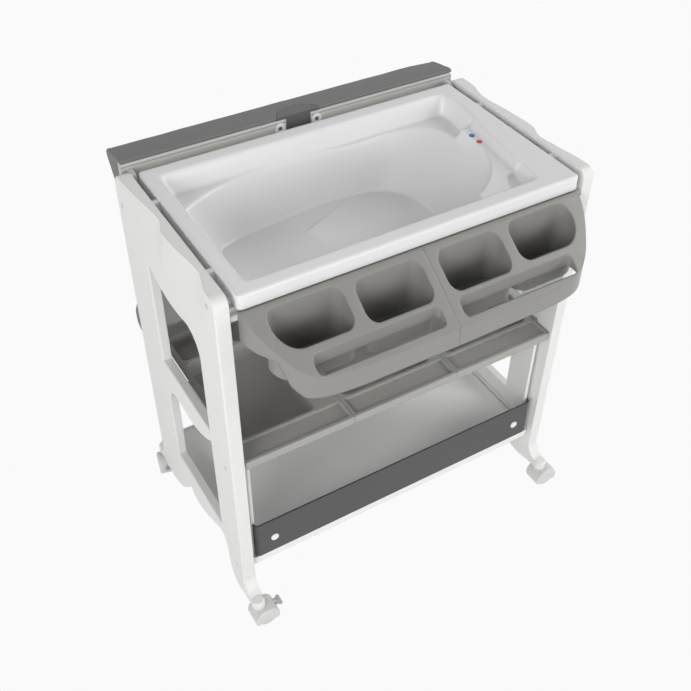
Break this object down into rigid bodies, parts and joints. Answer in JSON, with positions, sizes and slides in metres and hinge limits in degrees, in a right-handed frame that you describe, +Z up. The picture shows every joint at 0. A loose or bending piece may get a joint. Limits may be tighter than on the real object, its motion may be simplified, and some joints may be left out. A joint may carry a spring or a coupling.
{
  "type": "changing table with bathtub",
  "caption": "Wheeled nursery stand with a moulded baby bath in its top, a front organizer, shelf trays, a bottom shelf and a padded changing board that hangs behind.",
  "frame": {"origin": "on the floor, under the middle of the whole table with its board hanging", "axes": "+X to the user's right, +Y away from the user toward the hanging board, +Z up"},
  "size_m": [0.8652, 0.686, 0.9178],
  "materials": {
    "panel": "satin warm white",
    "tub": "glossy white",
    "organizer": "satin warm grey",
    "tray": "satin warm grey",
    "rail": "satin",
    "shelf": "satin white",
    "guard": "satin dark grey",
    "rod": "white paint",
    "board": "satin",
    "board_edge": "satin light grey",
    "mat": "matt padded cover",
    "grip": "satin dark grey",
    "guide": "satin",
    "white_fitting": "gloss",
    "plug": "matt",
    "steel": "plain",
    "caster_hood": "satin light grey",
    "caster_wheel": "satin light grey",
    "brake": "satin grey",
    "blue_mark": "gloss",
    "red_mark": "gloss"
  },
  "bodies": {
    "table": {"bathtub": "tub", "drain_fitting": "white_fitting", "drain_nut": "white_fitting", "cold_marker": "blue_mark", "hot_marker": "red_mark", "top_rail_front": "rail", "top_rail_rear": "rail", "mid_rail_front": "rail", "mid_rail_rear": "rail", "bottom_rail_front": "rail", "bottom_rail_rear": "rail", "bottom_shelf": "shelf", "shelf_guard": "guard", "left_side_panel": "panel", "right_side_panel": "panel", "shelf_tray_left": "tray", "shelf_tray_middle": "tray", "shelf_tray_right": "tray", "panel_screws_left": "steel", "organizer_left": "organizer", "guard_cap_left": "white_fitting", "upright_rod_left": "rod", "pivot_pin_left": "steel", "panel_screws_right": "steel", "organizer_right": "organizer", "guard_cap_right": "white_fitting", "upright_rod_right": "rod", "pivot_pin_right": "steel", "caster_stem_front_left": "steel", "caster_stem_front_right": "steel", "caster_stem_rear_left": "steel", "caster_stem_rear_right": "steel"},
    "board_guides": {"guide_block_left": "guide", "guide_block_right": "guide"},
    "board": {"changing_board": "board", "board_rail": "board_edge", "changing_mat": "mat", "handle_grip": "grip", "handle_button_left": "white_fitting", "handle_button_right": "white_fitting"},
    "plug": {"drain_plug": "plug"},
    "caster_front_left": {"caster_hood_front_left": "caster_hood"},
    "wheels_front_left": {"caster_wheels_front_left": "caster_wheel"},
    "brake_front_left": {"brake_lever_front_left": "brake"},
    "caster_front_right": {"caster_hood_front_right": "caster_hood"},
    "wheels_front_right": {"caster_wheels_front_right": "caster_wheel"},
    "caster_rear_left": {"caster_hood_rear_left": "caster_hood"},
    "wheels_rear_left": {"caster_wheels_rear_left": "caster_wheel"},
    "brake_rear_left": {"brake_lever_rear_left": "brake"},
    "caster_rear_right": {"caster_hood_rear_right": "caster_hood"},
    "wheels_rear_right": {"caster_wheels_rear_right": "caster_wheel"}
  },
  "joints": [
    {"name": "board_tilt", "type": "hinge", "parent": "table", "child": "board_guides", "pos_m": [0, 0.238, 0.886], "axis": [1, 0, 0], "range_deg": [0, 90]},
    {"name": "board_slide", "type": "slide", "parent": "board_guides", "child": "board", "axis": [0, 0, 1], "range_m": [0, 0.395]},
    {"name": "plug_lift", "type": "slide", "parent": "table", "child": "plug", "axis": [0, 0, 1], "range_m": [0, 0.03]},
    {"name": "swivel_front_left", "type": "hinge", "parent": "table", "child": "caster_front_left", "pos_m": [-0.396, -0.241, 0.05], "axis": [0, 0, 1], "continuous": true},
    {"name": "roll_front_left", "type": "hinge", "parent": "caster_front_left", "child": "wheels_front_left", "pos_m": [-0.384, -0.241, 0.024], "axis": [0, 1, 0], "continuous": true},
    {"name": "brake_front_left", "type": "hinge", "parent": "caster_front_left", "child": "brake_front_left", "pos_m": [-0.355, -0.241, 0.038], "axis": [0, 1, 0], "range_deg": [0, 20]},
    {"name": "swivel_front_right", "type": "hinge", "parent": "table", "child": "caster_front_right", "pos_m": [0.396, -0.241, 0.05], "axis": [0, 0, 1], "continuous": true},
    {"name": "roll_front_right", "type": "hinge", "parent": "caster_front_right", "child": "wheels_front_right", "pos_m": [0.408, -0.241, 0.024], "axis": [0, 1, 0], "continuous": true},
    {"name": "swivel_rear_left", "type": "hinge", "parent": "table", "child": "caster_rear_left", "pos_m": [-0.396, 0.283, 0.05], "axis": [0, 0, 1], "continuous": true},
    {"name": "roll_rear_left", "type": "hinge", "parent": "caster_rear_left", "child": "wheels_rear_left", "pos_m": [-0.39849, 0.27126, 0.024], "axis": [0.9781, -0.2079, 0], "continuous": true},
    {"name": "brake_rear_left", "type": "hinge", "parent": "caster_rear_left", "child": "brake_rear_left", "pos_m": [-0.40452, 0.2429, 0.038], "axis": [0.9781, -0.2079, 0], "range_deg": [0, 20]},
    {"name": "swivel_rear_right", "type": "hinge", "parent": "table", "child": "caster_rear_right", "pos_m": [0.396, 0.283, 0.05], "axis": [0, 0, 1], "continuous": true},
    {"name": "roll_rear_right", "type": "hinge", "parent": "caster_rear_right", "child": "wheels_rear_right", "pos_m": [0.402, 0.27261, 0.024], "axis": [0.866, 0.5, 0], "continuous": true}
  ]
}
